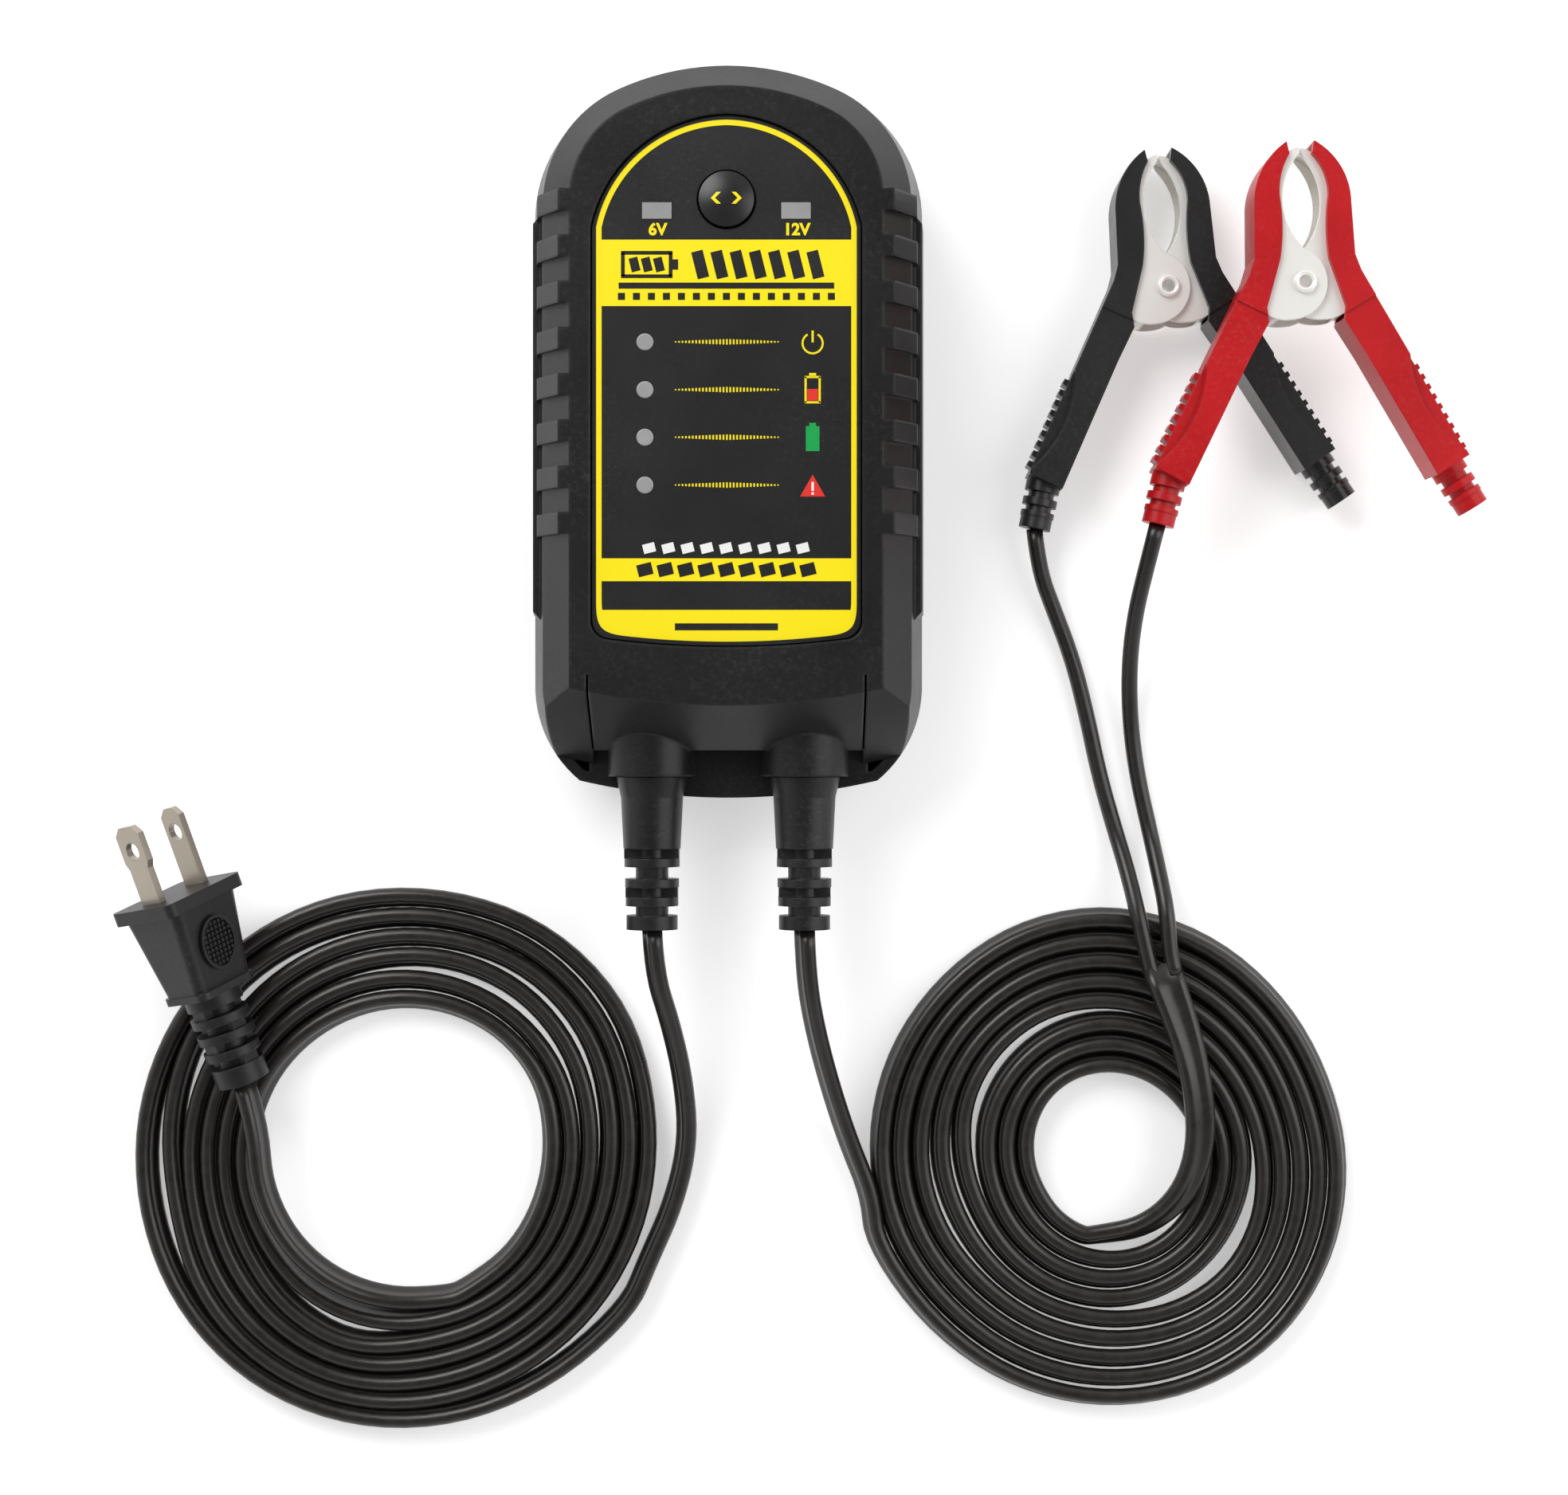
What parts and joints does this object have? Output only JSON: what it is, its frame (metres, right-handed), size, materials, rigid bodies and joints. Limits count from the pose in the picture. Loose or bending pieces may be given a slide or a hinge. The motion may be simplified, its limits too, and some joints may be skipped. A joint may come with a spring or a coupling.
{
  "type": "battery charger",
  "caption": "Car battery charger: ribbed two-shell case with label face and select button, coiled mains cord with plug, coiled output cord with red and black spring clamps.",
  "frame": {"origin": "centre of the case's footprint, on the surface its feet stand on", "axes": "+Z out of the label face, +Y towards the arched end of the case, +X to the right of the label"},
  "size_m": [0.303, 0.305, 0.0441],
  "materials": {
    "case_plastic": "fine moulded grain, matt charcoal black",
    "foot_rubber": "soft matt rubber",
    "screw_steel": "zinc plated",
    "label_print": "printed black and yellow overlay, satin",
    "button_plastic": "satin black dome",
    "lens_frosted": "frosted translucent",
    "board_laminate": "green solder mask",
    "component_black": "moulded package",
    "led_clear": "clear epoxy",
    "ferrite": "sintered ferrite",
    "coil_tape": "yellow tape over windings",
    "capacitor_sleeve": "shrink sleeve",
    "sink_aluminium": "extruded",
    "relay_plastic": "moulded cover",
    "fuse_glass": "glass tube with nickel caps",
    "cord_vinyl": "flexible vinyl, satin to glossy black",
    "blade_nickel": "nickel plated",
    "grip_black": "moulded vinyl, fine grain",
    "grip_red": "moulded vinyl, fine grain, red",
    "jaw_steel": "nickel plated pressed steel",
    "spring_steel": "spring wire"
  },
  "bodies": {
    "root": {"back_cover": "case_plastic", "black_lead": "cord_vinyl", "black_left_grip": "grip_black", "black_left_jaw": "jaw_steel", "black_rivet": "jaw_steel", "black_spring": "spring_steel", "board_screws": "screw_steel", "case_screws": "screw_steel", "circuit_board": "board_laminate", "front_cover": "case_plastic", "heat_sink": "sink_aluminium", "label_plate": "label_print", "lens_charged": "lens_frosted", "lens_charging": "lens_frosted", "lens_fault": "lens_frosted", "lens_power": "lens_frosted", "mains_capacitor": "capacitor_sleeve", "mains_cord_coil": "cord_vinyl", "mains_cord_end": "cord_vinyl", "mains_cord_lead": "cord_vinyl", "mains_fuse": "fuse_glass", "mains_strain_relief": "cord_vinyl", "output_capacitors": "capacitor_sleeve", "output_cord_coil": "cord_vinyl", "output_cord_end": "cord_vinyl", "output_cord_lead": "cord_vinyl", "output_relay": "relay_plastic", "output_strain_relief": "cord_vinyl", "plug_blade_narrow": "blade_nickel", "plug_blade_wide": "blade_nickel", "plug_body": "cord_vinyl", "power_transistor": "component_black", "red_lead": "cord_vinyl", "red_left_grip": "grip_red", "red_left_jaw": "jaw_steel", "red_rivet": "jaw_steel", "red_spring": "spring_steel", "rubber_feet": "foot_rubber", "status_leds": "led_clear", "tact_switch": "component_black", "transformer_coil": "coil_tape", "transformer_core": "ferrite", "window_12v": "lens_frosted", "window_6v": "lens_frosted"},
    "select_button": {"select_button": "button_plastic"},
    "black_clamp_half": {"black_right_grip": "grip_black", "black_right_jaw": "jaw_steel"},
    "red_clamp_half": {"red_right_grip": "grip_red", "red_right_jaw": "jaw_steel"}
  },
  "joints": [
    {"name": "button_press", "type": "slide", "parent": "root", "child": "select_button", "axis": [0, 0, -1], "range_m": [0, 0.0006], "stiffness_N_per_m": 1500},
    {"name": "black_clamp_open", "type": "hinge", "parent": "root", "child": "black_clamp_half", "pos_m": [0.0983, 0.0336, 0.00675], "axis": [0, 0, -1], "range_deg": [0, 40], "stiffness_Nm_per_rad": 0.6, "springref_deg": -34.38, "deforming": ["black_spring"]},
    {"name": "red_clamp_open", "type": "hinge", "parent": "root", "child": "red_clamp_half", "pos_m": [0.1264, 0.0323, 0.02065], "axis": [0, 0, -1], "range_deg": [0, 40], "stiffness_Nm_per_rad": 0.6, "springref_deg": -34.38, "deforming": ["red_spring"]}
  ]
}
